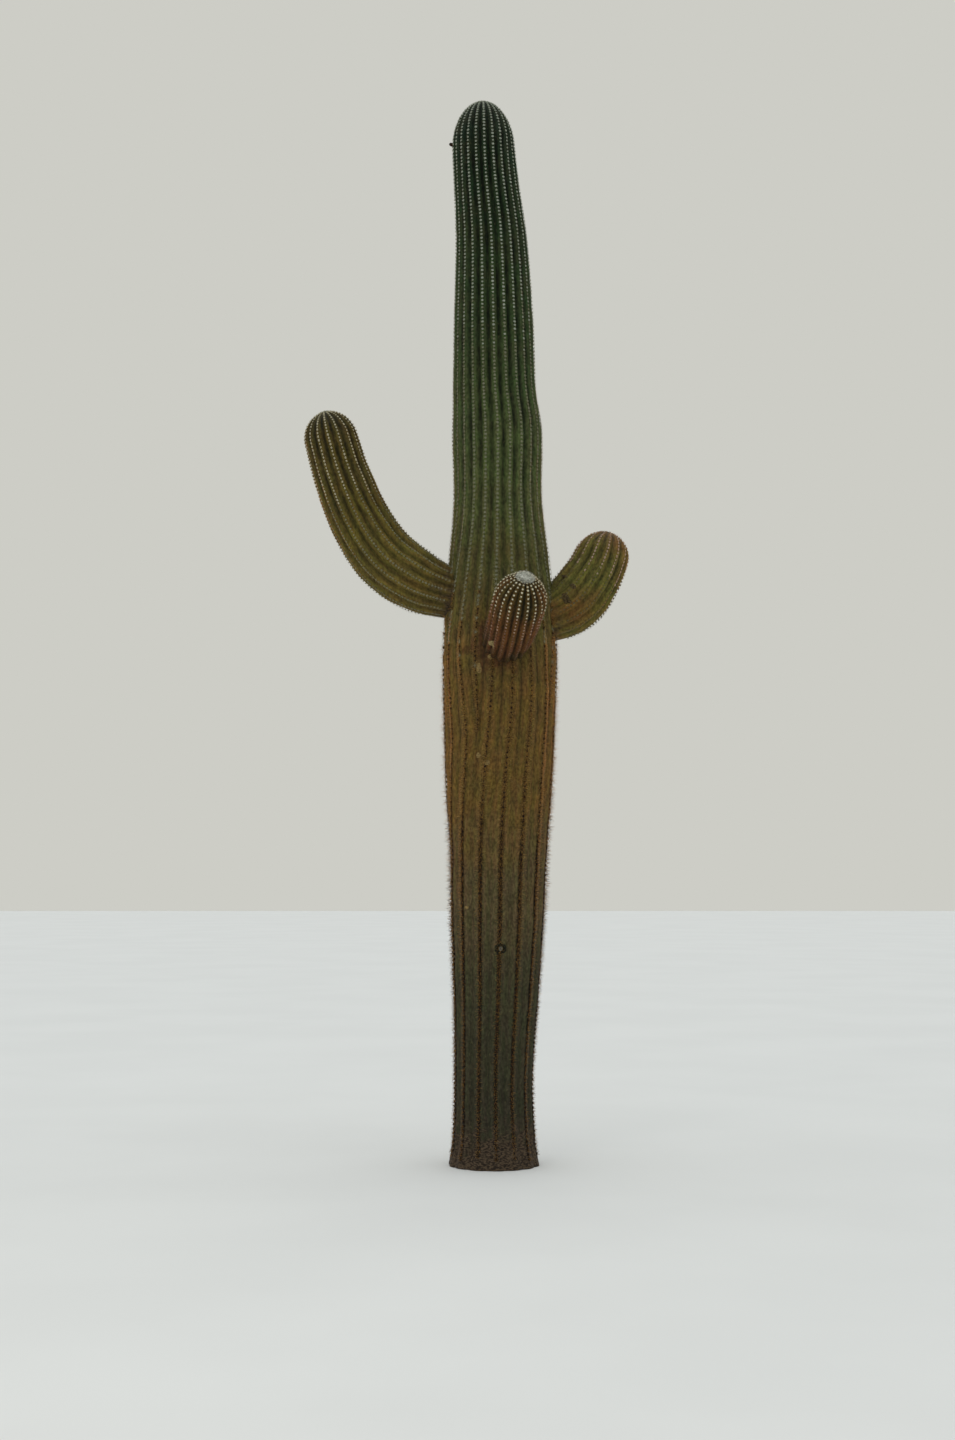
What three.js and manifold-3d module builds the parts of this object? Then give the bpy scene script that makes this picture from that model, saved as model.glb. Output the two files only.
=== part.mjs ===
// A saguaro cactus, 5.9 m tall: one ribbed stem that narrows at its foot and its tip, and three
// young arms near mid height, one to the left, one short one towards the front and one to the right.
// Millimetres, +Z up. The origin is the centre of the flat cut at ground level, the front is -Y.

import * as THREE from "three";
import { mergeVertices } from "three/addons/utils/BufferGeometryUtils.js";
import Module from "manifold-3d";

const GAP = 0.3; // clearance between two pieces that touch
const RING_STEP = 200; // longest step between two rings of a limb
const ARM_RING_STEP = 80;
const DOME_RINGS = 5; // rings that close a limb's rounded tip
const RIB_POINTS = [-1, -0.45, 0, 0.45]; // across one rib, from groove (-1) to groove (1)
const NEW_RIB_WIDTH = 0.07; // width of a rib before it starts, as a share of a full one
const RIB_GROWTH = 650; // length over which a new rib grows to its full width
const CREST_TO_DOME = 0.5; // how slowly the relief fades towards the apex, as a power
const DIRECTION_STEP = 2; // a limb's direction is taken over this length to either side

// A limb is given by stations from its base to its apex. x, y and z place the centre of the section, radius
// is over the rib crests, depth is the relief of the ribs, fullness makes a rib flat (4) or pointed (1.5), and
// turn is the angle in degrees from the facing direction to the first groove.
const STEM = {
  facing: [0, -1, 0],
  ribs: 14,
  // New ribs start in a groove on the way up: [number of the old rib that each comes before, height].
  newRibs: [
    [3, 2350],
    [4, 3000],
    [5, 1620],
    [6, 2950],
    [7, 2750],
    [8, 2450],
    [10, 1700],
    [11, 2800],
    [13, 2225],
  ],
  dome: 262,
  stations: [
    { x: 0, y: 0, z: 0, radius: 250, depth: 12, fullness: 2.2, turn: -10 },
    { x: 0, y: 0, z: 130, radius: 226, depth: 13, fullness: 2.2, turn: -10 },
    { x: -2, y: 0, z: 480, radius: 214, depth: 14, fullness: 2.2, turn: -10 },
    { x: 11, y: 0, z: 900, radius: 231, depth: 14, fullness: 2.2, turn: -10 },
    { x: 19, y: 0, z: 1300, radius: 252, depth: 14, fullness: 2.2, turn: -10 },
    { x: 26, y: 0, z: 1690, radius: 265, depth: 14, fullness: 2.1, turn: -10 },
    { x: 30, y: 0, z: 2060, radius: 290, depth: 15, fullness: 2.0, turn: -6 },
    { x: 33, y: 0, z: 2500, radius: 308, depth: 17, fullness: 1.9, turn: 1 },
    { x: 34, y: 0, z: 2880, radius: 310, depth: 20, fullness: 1.9, turn: 3 },
    { x: 31, y: 0, z: 3280, radius: 281, depth: 25, fullness: 1.8, turn: 5 },
    { x: 23, y: 0, z: 3640, radius: 245, depth: 29, fullness: 1.8, turn: 7 },
    { x: 20, y: 0, z: 4020, radius: 249, depth: 29, fullness: 1.8, turn: 8 },
    { x: 6, y: 0, z: 4230, radius: 232, depth: 28, fullness: 1.8, turn: 8 },
    { x: 1, y: 0, z: 4620, radius: 222, depth: 28, fullness: 1.7, turn: 7 },
    { x: -11, y: 0, z: 5100, radius: 200, depth: 27, fullness: 1.7, turn: 7 },
    { x: -40, y: 0, z: 5440, radius: 181, depth: 25, fullness: 1.6, turn: 7 },
    { x: -56, y: 0, z: 5665, radius: 174, depth: 23, fullness: 1.6, turn: 9 },
    { x: -62, y: 0, z: 5910, radius: 170, depth: 22, fullness: 1.6, turn: 11 },
  ],
};

// The arms start inside the stem and are cut where they meet it. The left one rises in a long bow.
const LEFT_ARM = {
  facing: [0, -1, 0],
  ribs: 16,
  newRibs: [],
  dome: 150,
  stations: [
    { x: -90, y: 0, z: 3095, radius: 125, depth: 12, fullness: 1.9, turn: 8 },
    { x: -268, y: 0, z: 3132, radius: 144, depth: 16, fullness: 1.9, turn: 8 },
    { x: -425, y: -2, z: 3194, radius: 172, depth: 22, fullness: 1.9, turn: 8 },
    { x: -600, y: -6, z: 3322, radius: 178, depth: 23, fullness: 1.8, turn: 8 },
    { x: -737, y: -18, z: 3524, radius: 169, depth: 23, fullness: 1.7, turn: 8 },
    { x: -838, y: -48, z: 3765, radius: 157, depth: 22, fullness: 1.7, turn: 8 },
    { x: -893, y: -84, z: 3950, radius: 148, depth: 20, fullness: 1.6, turn: 8 },
    { x: -936, y: -118, z: 4115, radius: 143, depth: 19, fullness: 1.6, turn: 8 },
  ],
};
const LEFT_ARM_BEND = 690; // distance along the arm where its elbow ends and its upper part starts

// The front arm is a stub that swells towards its tip and turns up and a little to the right.
const FRONT_ARM = {
  facing: [1, 0, 0],
  ribs: 18,
  newRibs: [],
  dome: 150,
  stations: [
    { x: 52, y: -120, z: 2812, radius: 116, depth: 10, fullness: 1.7, turn: 8 },
    { x: 64, y: -290, z: 2832, radius: 122, depth: 15, fullness: 1.6, turn: 2 },
    { x: 95, y: -430, z: 2890, radius: 135, depth: 22, fullness: 1.6, turn: -2 },
    { x: 132, y: -575, z: 3005, radius: 140, depth: 23, fullness: 1.6, turn: -6 },
    { x: 160, y: -683, z: 3116, radius: 137, depth: 21, fullness: 1.6, turn: -8 },
  ],
};

// The right arm is a short club that rises steeply and a little to the back.
const RIGHT_ARM = {
  facing: [0, -1, 0],
  ribs: 15,
  newRibs: [],
  dome: 150,
  stations: [
    { x: 190, y: 10, z: 2972, radius: 125, depth: 12, fullness: 1.9, turn: -6 },
    { x: 345, y: 22, z: 3014, radius: 151, depth: 17, fullness: 1.9, turn: -6 },
    { x: 461, y: 40, z: 3096, radius: 171, depth: 22, fullness: 1.8, turn: -6 },
    { x: 554, y: 62, z: 3228, radius: 162, depth: 23, fullness: 1.7, turn: -6 },
    { x: 609, y: 84, z: 3350, radius: 151, depth: 21, fullness: 1.6, turn: -6 },
    { x: 646, y: 104, z: 3474, radius: 147, depth: 20, fullness: 1.6, turn: -6 },
  ],
};

// A crown is the low pad of felt and young spines on each tip. Radius, rise above the tip, facets round.
const CROWN = { radius: 34, rise: 9, sides: 16, rings: 3 };

// The dried bud is a small pear that hangs on to the left side of the stem near its top. Its outline is
// widest at one share of its length, and its shoulder, near the end, is a share of that wide.
const BUD = {
  height: 5668,
  azimuth: -86,
  length: 30,
  radius: 10,
  neck: 6,
  lift: 25,
  sunk: 8,
  widest: 0.55,
  shoulder: { at: 0.9, width: 0.7 },
  facets: { round: 10, along: 14 },
};

const FLESH = { color: 0x56603a, roughness: 0.72, metalness: 0 };
const FELT = { color: 0xa7a48c, roughness: 0.95, metalness: 0 };
const HUSK = { color: 0x3a2a1e, roughness: 0.9, metalness: 0 };

const wasm = await Module();
wasm.setup();

const clamp = THREE.MathUtils.clamp;
const radians = THREE.MathUtils.degToRad;

// A smooth step from 0 to 1 as value goes from start to end.
function ease(value, start, end) {
  const t = clamp((value - start) / (end - start), 0, 1);
  return t * t * (3 - 2 * t);
}

// Adds to each station its distance along the limb, from the first.
function measured(stations) {
  let at = 0;
  return stations.map((station, i) => {
    const last = stations[Math.max(i - 1, 0)];
    at += Math.hypot(station.x - last.x, station.y - last.y, station.z - last.z);
    return { ...station, at };
  });
}

// One value of the stations, such as radius, on a smooth curve through them at a distance.
function along(stations, key, distance) {
  const slope = (i) => {
    const a = stations[Math.max(i - 1, 0)];
    const b = stations[Math.min(i + 1, stations.length - 1)];
    return (b[key] - a[key]) / (b.at - a.at);
  };
  let i = 0;
  while (i < stations.length - 2 && distance > stations[i + 1].at) i += 1;
  const [a, b] = [stations[i], stations[i + 1]];
  const span = b.at - a.at;
  const t = clamp((distance - a.at) / span, 0, 1);
  const rise = t * t * (3 - 2 * t);
  return (
    a[key] * (1 - rise) +
    b[key] * rise +
    span * slope(i) * t * (1 - t) ** 2 -
    span * slope(i + 1) * t * t * (1 - t)
  );
}

// The order of the ribs round a limb, as the distance at which each starts. Old ribs start below it.
function ribStarts({ ribs, newRibs }) {
  const starts = [];
  for (let rib = 0; rib < ribs; rib += 1) {
    const born = newRibs.filter(([before]) => before === rib).map(([, height]) => height);
    starts.push(...born, -Infinity);
  }
  return starts;
}

// A limb with what is worked out once: its measured stations, its length and the order of its ribs.
function prepared(limb) {
  const stations = measured(limb.stations);
  const length = stations[stations.length - 1].at;
  return { ...limb, stations, length, starts: ribStarts(limb) };
}

// The centre of a limb at a distance, with its direction and the two directions across it.
function frameAt(limb, distance) {
  const point = (d) =>
    new THREE.Vector3(...["x", "y", "z"].map((key) => along(limb.stations, key, d)));
  const low = Math.max(distance - DIRECTION_STEP, 0);
  const high = Math.min(distance + DIRECTION_STEP, limb.length);
  const direction = point(high).sub(point(low)).normalize();
  const front = new THREE.Vector3(...limb.facing);
  front.addScaledVector(direction, -front.dot(direction)).normalize();
  const side = new THREE.Vector3().crossVectors(direction, front);
  return { centre: point(distance), direction, front, side };
}

// How far the rounded tip has closed at a distance, from 1 where it starts to 0 at the apex.
function domeAt(limb, distance) {
  const t = clamp((distance - (limb.length - limb.dome)) / limb.dome, 0, 1);
  return Math.sqrt(1 - t * t);
}

// One ring of points round a limb. Each rib is as wide as it has grown, and so are its neighbours.
function ringAt(limb, distance, extra) {
  const { centre, direction, front, side } = frameAt(limb, distance);
  const dome = domeAt(limb, distance);
  centre.addScaledVector(direction, extra * (1 - dome));
  const radius = along(limb.stations, "radius", distance) * dome + extra;
  const depth = along(limb.stations, "depth", distance) * dome ** CREST_TO_DOME;
  const fullness = along(limb.stations, "fullness", distance);
  const grown = limb.starts.map((start) => ease(distance, start, start + RIB_GROWTH) || 0);
  const shares = limb.starts.map((start, i) =>
    start === -Infinity ? 1 : NEW_RIB_WIDTH + (1 - NEW_RIB_WIDTH) * grown[i],
  );
  const total = shares.reduce((sum, share) => sum + share, 0);
  let angle = radians(along(limb.stations, "turn", distance));
  const points = [];
  shares.forEach((share, i) => {
    const width = (2 * Math.PI * share) / total;
    const height = limb.starts[i] === -Infinity ? 1 : grown[i];
    for (const across of RIB_POINTS) {
      const relief = height * (1 - Math.abs(across) ** fullness);
      const reach = radius - depth * (1 - relief);
      const azimuth = angle + (width * (across + 1)) / 2;
      points.push(
        centre
          .clone()
          .addScaledVector(front, reach * Math.cos(azimuth))
          .addScaledVector(side, reach * Math.sin(azimuth)),
      );
    }
    angle += width;
  });
  return points;
}

// The distances of the rings between two ends: every station, even steps between, and the dome's rings.
function ringDistances(limb, from, to, step) {
  const domeStart = limb.length - limb.dome;
  const inner = limb.stations.map((station) => station.at);
  const marks = [from, ...inner, domeStart, to]
    .filter((at) => at >= from && at <= Math.min(to, domeStart))
    .sort((a, b) => a - b);
  const distances = [from];
  for (const mark of marks) {
    const last = distances[distances.length - 1];
    const parts = Math.ceil((mark - last) / step);
    for (let i = 1; i <= parts; i += 1) distances.push(last + ((mark - last) * i) / parts);
  }
  if (distances[distances.length - 1] < Math.min(to, domeStart)) {
    distances.push(Math.min(to, domeStart));
  }
  if (to >= limb.length) {
    for (let i = 1; i <= DOME_RINGS; i += 1) {
      distances.push(domeStart + limb.dome * Math.sin((i / (DOME_RINGS + 1)) * (Math.PI / 2)));
    }
  }
  return distances;
}

// A closed ribbed body from one distance along a limb to another, as points and triangles.
function limbGeometry(limb, { from = 0, to = limb.length, step = ARM_RING_STEP, extra = 0 } = {}) {
  const rings = ringDistances(limb, from, to, step).map((at) => ringAt(limb, at, extra));
  const count = rings[0].length;
  const points = rings.flat();
  const triangles = [];
  for (let ring = 0; ring + 1 < rings.length; ring += 1) {
    for (let i = 0; i < count; i += 1) {
      const next = (i + 1) % count;
      const [a, b] = [ring * count + i, ring * count + next];
      triangles.push(a, b, b + count, a, b + count, a + count);
    }
  }
  const foot = points.push(frameAt(limb, from).centre) - 1;
  const tip = frameAt(limb, to);
  const end = points.push(tip.centre.addScaledVector(tip.direction, to >= limb.length ? extra : 0)) - 1;
  const lastRing = (rings.length - 1) * count;
  for (let i = 0; i < count; i += 1) {
    const next = (i + 1) % count;
    triangles.push(foot, next, i, end, lastRing + i, lastRing + next);
  }
  const geometry = new THREE.BufferGeometry().setFromPoints(points);
  geometry.setIndex(triangles);
  return geometry;
}

function toSolid(geometry) {
  const bare = geometry.clone();
  bare.deleteAttribute("normal");
  bare.deleteAttribute("uv");
  const merged = mergeVertices(bare, 1e-3);
  return new wasm.Manifold(
    new wasm.Mesh({
      numProp: 3,
      vertProperties: merged.attributes.position.array,
      triVerts: new Uint32Array(merged.index.array),
    }),
  );
}

function toGeometry(solid) {
  const mesh = solid.getMesh();
  const geometry = new THREE.BufferGeometry();
  geometry.setAttribute("position", new THREE.BufferAttribute(mesh.vertProperties, 3));
  geometry.setIndex(new THREE.BufferAttribute(mesh.triVerts, 1));
  return geometry;
}

// A geometry with another solid cut away, of which only the piece that stands clear of it is kept.
function cutBy(geometry, cutter) {
  const pieces = toSolid(geometry).subtract(cutter).decompose();
  pieces.sort((a, b) => b.volume() - a.volume());
  return toGeometry(pieces[0]);
}

function named(name, geometry, finish) {
  geometry.computeVertexNormals();
  const mesh = new THREE.Mesh(geometry, new THREE.MeshStandardMaterial({ ...finish, flatShading: true }));
  mesh.name = name;
  return mesh;
}

// The felt pad on a limb's tip: half a flattened ball on the apex, cut to sit on the ribs.
function crown(name, limb, limbBody) {
  const { radius, rise, sides, rings } = CROWN;
  const tip = frameAt(limb, limb.length);
  const pad = new THREE.SphereGeometry(radius, sides, rings * 2).rotateX(Math.PI / 2);
  pad.scale(1, 1, (rise * 2) / radius);
  const turn = new THREE.Quaternion().setFromUnitVectors(new THREE.Vector3(0, 0, 1), tip.direction);
  pad.applyQuaternion(turn);
  const seat = tip.centre.addScaledVector(tip.direction, -rise);
  pad.translate(seat.x, seat.y, seat.z);
  return named(name, cutBy(pad, limbBody), FELT);
}

// The dried bud: a pear turned from its outline, leaning up a little, its neck cut to the stem.
function driedBud(stem, stemBody) {
  const { height, azimuth, length, radius, neck, lift, sunk, widest, shoulder, facets } = BUD;
  const outline = new THREE.SplineCurve([
    new THREE.Vector2(0, -length / 2),
    new THREE.Vector2(neck, -length / 2),
    new THREE.Vector2(neck, 0),
    new THREE.Vector2(radius, length * widest),
    new THREE.Vector2(radius * shoulder.width, length * shoulder.at),
    new THREE.Vector2(0, length),
  ]);
  const profile = outline.getPoints(facets.along).map((p) => new THREE.Vector2(Math.max(p.x, 0), p.y));
  profile[0].x = 0;
  profile[profile.length - 1].x = 0;
  const pear = new THREE.LatheGeometry(profile, facets.round);
  const { centre, front, side } = frameAt(stem, height);
  const out = front.multiplyScalar(Math.cos(radians(azimuth)));
  out.addScaledVector(side, Math.sin(radians(azimuth)));
  const axis = out.clone().multiplyScalar(Math.cos(radians(lift)));
  axis.z += Math.sin(radians(lift));
  pear.applyQuaternion(new THREE.Quaternion().setFromUnitVectors(new THREE.Vector3(0, 1, 0), axis));
  const skin = along(stem.stations, "radius", height) * domeAt(stem, height);
  const root = centre.addScaledVector(out, skin - sunk);
  pear.translate(root.x, root.y, root.z);
  return named("dried_bud", cutBy(pear, stemBody), HUSK);
}

function buildCactus() {
  const [stem, leftArm, frontArm, rightArm] = [STEM, LEFT_ARM, FRONT_ARM, RIGHT_ARM].map(prepared);
  const stemBody = toSolid(limbGeometry(stem, { step: RING_STEP, extra: GAP }));
  const elbowEnd = LEFT_ARM_BEND - GAP / 2;
  const upperStart = LEFT_ARM_BEND + GAP / 2;
  const cactus = new THREE.Group();
  cactus.add(
    named("trunk", limbGeometry(stem, { step: RING_STEP }), FLESH),
    named("left_arm_elbow", cutBy(limbGeometry(leftArm, { to: elbowEnd }), stemBody), FLESH),
    named("left_arm_upper", limbGeometry(leftArm, { from: upperStart }), FLESH),
    named("front_arm", cutBy(limbGeometry(frontArm), stemBody), FLESH),
    named("right_arm", cutBy(limbGeometry(rightArm), stemBody), FLESH),
    crown("trunk_crown", stem, stemBody),
    driedBud(stem, stemBody),
  );
  for (const [name, arm] of Object.entries({
    left_arm_crown: leftArm,
    front_arm_crown: frontArm,
    right_arm_crown: rightArm,
  })) {
    cactus.add(crown(name, arm, toSolid(limbGeometry(arm, { extra: GAP }))));
  }
  return cactus;
}

export default buildCactus();
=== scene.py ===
# A saguaro cactus, 5.9 m tall, with three young arms, dressed over its solids: skins with growing
# ribs, felted areoles, spines, woolly crowns, cork at the foot and at the arm bases, and old scars.
# Metres, +Z up, the origin at the centre of the flat cut at ground level, the front towards -Y.

import math
import random

import bpy
from mathutils import Matrix, Vector


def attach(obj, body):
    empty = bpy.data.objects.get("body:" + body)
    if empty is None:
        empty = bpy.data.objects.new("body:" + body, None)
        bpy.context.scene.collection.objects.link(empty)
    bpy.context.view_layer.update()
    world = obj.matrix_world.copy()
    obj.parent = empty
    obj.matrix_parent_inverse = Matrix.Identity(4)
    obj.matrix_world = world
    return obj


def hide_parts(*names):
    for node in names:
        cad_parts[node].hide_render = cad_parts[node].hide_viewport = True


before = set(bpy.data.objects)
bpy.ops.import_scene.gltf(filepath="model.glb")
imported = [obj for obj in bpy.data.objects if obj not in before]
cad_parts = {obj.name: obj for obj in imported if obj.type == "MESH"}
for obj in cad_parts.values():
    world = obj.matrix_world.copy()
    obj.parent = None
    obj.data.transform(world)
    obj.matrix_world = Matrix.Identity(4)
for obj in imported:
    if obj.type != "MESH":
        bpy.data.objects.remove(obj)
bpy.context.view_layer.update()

MM = 0.001

# The limbs, by the rule and with the values that their solids follow, in millimetres and degrees.
# A station gives the centre of a section, its radius over the crests, the depth of the relief, how full
# a rib is (4 is flat, 1.5 pointed) and the turn from the front to the first groove.
STATION = ("x", "y", "z", "radius", "depth", "fullness", "turn")
LENGTHS = ("x", "y", "z", "radius", "depth")
STEM = {
    "facing": (0, -1, 0),
    "ribs": 14,
    # New ribs start in a groove on the way up: the number of the old rib that each comes before, and where.
    "new_ribs": (
        (3, 2350),
        (4, 3000),
        (5, 1620),
        (6, 2950),
        (7, 2750),
        (8, 2450),
        (10, 1700),
        (11, 2800),
        (13, 2225),
    ),
    "dome": 262,
    "stations": (
        (0, 0, 0, 250, 12, 2.2, -10),
        (0, 0, 130, 226, 13, 2.2, -10),
        (-2, 0, 480, 214, 14, 2.2, -10),
        (11, 0, 900, 231, 14, 2.2, -10),
        (19, 0, 1300, 252, 14, 2.2, -10),
        (26, 0, 1690, 265, 14, 2.1, -10),
        (30, 0, 2060, 290, 15, 2.0, -6),
        (33, 0, 2500, 308, 17, 1.9, 1),
        (34, 0, 2880, 310, 20, 1.9, 3),
        (31, 0, 3280, 281, 25, 1.8, 5),
        (23, 0, 3640, 245, 29, 1.8, 7),
        (20, 0, 4020, 249, 29, 1.8, 8),
        (6, 0, 4230, 232, 28, 1.8, 8),
        (1, 0, 4620, 222, 28, 1.7, 7),
        (-11, 0, 5100, 200, 27, 1.7, 7),
        (-40, 0, 5440, 181, 25, 1.6, 7),
        (-56, 0, 5665, 174, 23, 1.6, 9),
        (-62, 0, 5910, 170, 22, 1.6, 11),
    ),
}
LEFT_ARM = {
    "facing": (0, -1, 0),
    "ribs": 16,
    "new_ribs": (),
    "dome": 150,
    "stations": (
        (-90, 0, 3095, 125, 12, 1.9, 8),
        (-268, 0, 3132, 144, 16, 1.9, 8),
        (-425, -2, 3194, 172, 22, 1.9, 8),
        (-600, -6, 3322, 178, 23, 1.8, 8),
        (-737, -18, 3524, 169, 23, 1.7, 8),
        (-838, -48, 3765, 157, 22, 1.7, 8),
        (-893, -84, 3950, 148, 20, 1.6, 8),
        (-936, -118, 4115, 143, 19, 1.6, 8),
    ),
}
FRONT_ARM = {
    "facing": (1, 0, 0),
    "ribs": 18,
    "new_ribs": (),
    "dome": 150,
    "stations": (
        (52, -120, 2812, 116, 10, 1.7, 8),
        (64, -290, 2832, 122, 15, 1.6, 2),
        (95, -430, 2890, 135, 22, 1.6, -2),
        (132, -575, 3005, 140, 23, 1.6, -6),
        (160, -683, 3116, 137, 21, 1.6, -8),
    ),
}
RIGHT_ARM = {
    "facing": (0, -1, 0),
    "ribs": 15,
    "new_ribs": (),
    "dome": 150,
    "stations": (
        (190, 10, 2972, 125, 12, 1.9, -6),
        (345, 22, 3014, 151, 17, 1.9, -6),
        (461, 40, 3096, 171, 22, 1.8, -6),
        (554, 62, 3228, 162, 23, 1.7, -6),
        (609, 84, 3350, 151, 21, 1.6, -6),
        (646, 104, 3474, 147, 20, 1.6, -6),
    ),
}

# A new rib starts at this share of an old one's width and reaches it after this length. The relief closes
# over the dome by this power.
NEW_RIB_WIDTH = 0.07
RIB_GROWTH = 650 * MM
CREST_TO_DOME = 0.5

# How finely the skins are wrapped: columns to a rib, rows along a limb and rows over a dome.
RIB_COLUMNS = 6
STEM_ROW_STEP = 60 * MM
ARM_ROW_STEP = 40 * MM
DOME_ROWS = 10
MERGE_DISTANCE = 1e-5

# The first rows of every skin close its base from the middle outwards, and the foot has two more that keep
# its edge crisp, as (distance along the limb, share of the radius).
BASE_ROWS = [(0, 0), (0, 0.5), (0, 0.97), (0, 1)]
FOOT_ROWS = [(0.006, 1), (0.03, 1)]

# The lumps in the skins, as (name, their size, how far they push the skin, which of its parts have them).
SKIN_LUMPS = (
    ("swell", 0.14, 0.010, "free"),
    ("unevenness", 0.035, 0.004, "free"),
    ("cork", 0.012, 0.008, "corky"),
)

# The lumps come in over the first of these lengths above the flat cut. Those of the cork come in over the
# second above any base and fade over the third past its end. A flared base narrows over the last.
FOOT_HELD = 0.06
CORK_START = 0.04
CORK_FADE = 0.15
FLARE_LENGTH = 0.34

# Spacing of the areoles along a rib, as (distance along the limb, spacing) in metres. It is widest where
# the stem has grown fastest, and the same all along an arm.
STEM_PITCHES = (
    (1.5, 0.0246),
    (1.9, 0.0260),
    (2.4, 0.0275),
    (3.0, 0.0250),
    (3.7, 0.0217),
    (4.1, 0.0205),
)
LEFT_PITCHES = ((0, 0.019),)
FRONT_PITCHES = ((0, 0.023),)
RIGHT_PITCHES = ((0, 0.021),)

# Where areoles start above the base of a limb and above the start of a new rib, the radius at which they
# stop below the apex, and the share to which their spacing closes up there.
STEM_START = 0.05
ARM_START = 0.16
NEW_RIB_START = 0.12
BARE_APEX = 0.022
APEX_SPACING = 0.6

# How far the spacing and the sizes of pads and spines vary, as shares, and how far a spine is out of its
# turn round its areole.
SPACING_RANGE = (0.92, 1.08)
PAD_RANGE = (0.8, 1.2)
SPINE_RANGE = (0.65, 1.15)
SPINE_SWING = 0.25

# Where areoles change from weathered black to brown, to dull tan and to pale on the stem, as distances
# from the base. Each areole turns up to a spread before or after, on the stem and on an arm.
STEM_AGES = (1.85, 2.9, 4.6)
STEM_AGE_SPREAD = 0.25
ARM_AGE_SPREAD = 0.05

# Spine length by height on the stem and by distance along an arm, as (where, length), in metres.
STEM_SPINES = (
    (0.0, 0.020),
    (0.9, 0.028),
    (1.5, 0.040),
    (2.1, 0.040),
    (2.6, 0.032),
    (3.3, 0.020),
    (4.2, 0.012),
    (5.0, 0.010),
)
ARM_SPINES = ((0.1, 0.018), (0.7, 0.011), (1.4, 0.008))
BRISTLE_LENGTH = 0.010
TUFT_LENGTH = 0.015

# The kinds of spines, as (how many to a cluster, the least and greatest lean from the surface's normal in
# degrees, share of the spine length at their place, width in mm, how far they droop).
CLOSE = (12, (66, 88), 0.5, 2.2, 0.05)
FEATHERY = (14, (68, 88), 1, 1.8, 0.05)
RISING = (8, (15, 80), 1, 2.2, 0.1)
CENTRAL = (4, (10, 65), 1, 2.8, 0.1)
SHORT = (10, (40, 86), 1, 1.3, 0)
STUBBY = (8, (30, 80), 1, 1.2, 0)
BRISTLY = (6, (0, 50), 1, 1.6, 0)
TUFTED = (7, (0, 65), 1, 2.2, 0)

# Scars, as (distance along the limb, degrees round it from the front, width and height in mm).
OLD_WOUND = (1.176, 4, 68, 62)
STEM_CALLUSES = (
    (2.21, -24, 32, 32),
    (2.17, -14, 38, 30),
    (2.68, -22, 34, 58),
    (2.74, -10, 34, 30),
    (1.39, -42, 24, 20),
)
FRONT_CALLUS = (0.25, -141, 56, 44)
RIGHT_SCARS = ((0.335, -52, 56, 34), (0.22, -10, 80, 44), (0.30, -20, 50, 34))
CALLUS_RISE = 5

# The wound's lip is sunk by this much at its rim and steps inwards by these rings, as (width, rise) in mm.
# Its dry heart has this share of its width and of its height, and this rise in mm.
WOUND_SUNK = 3
WOUND_RINGS = ((4, 7), (7, 4), (6, -8), (4, -3))
WOUND_HEART = (0.33, 0.5, 7)

# The stem's skin is darker and browner round the place where the front arm leaves it, as (centre, radius) in
# metres.
BROWNED = ((0.0, -0.31, 2.80), 0.2)

# The camera of the photograph.
CAMERA_PLACE = (-0.0895, -11.0, 1.622)
CAMERA_RISE = 4.147
CAMERA_LENS = 50

# The floor and the walls, which are bright behind the plant, dim before it and brighter overhead by a gain.
FLOOR_SIZE = 80
FLOOR_CENTRE = (0, 20, 0)
WALL_BEHIND = "#cdcdc6"
WALL_BEFORE = "#a1a4a6"
SKY_GAIN = 4

# The soft key light, and the two warm lamps behind the plant, which stand this many degrees round to
# either side and whose beams fade towards the foot and the top.
KEY_PLACE = (-4.5, -8, 6.5)
KEY_TARGET = (0, 0, 3)
KEY_SIZE = 4
KEY_POWER = 60
KEY_TINT = "#fff4e4"
RIM_AZIMUTH = 137
RIM_DISTANCE = 6
RIM_HEIGHT = 3.3
RIM_SIZE = 2.5
RIM_SPREAD = 60
RIM_POWER = 18
RIM_TINT = "#ff9448"


def ease(value, start, end):
    """A smooth step from 0 to 1 as value goes from start to end."""
    t = min(max((value - start) / (end - start), 0), 1)
    return t * t * (3 - 2 * t)


def between(points, value):
    """The value on a line through (where, value) points."""
    for (a, low), (b, high) in zip(points, points[1:]):
        if value <= b:
            return low + (high - low) * min(max((value - a) / (b - a), 0), 1)
    return points[-1][1]


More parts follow.
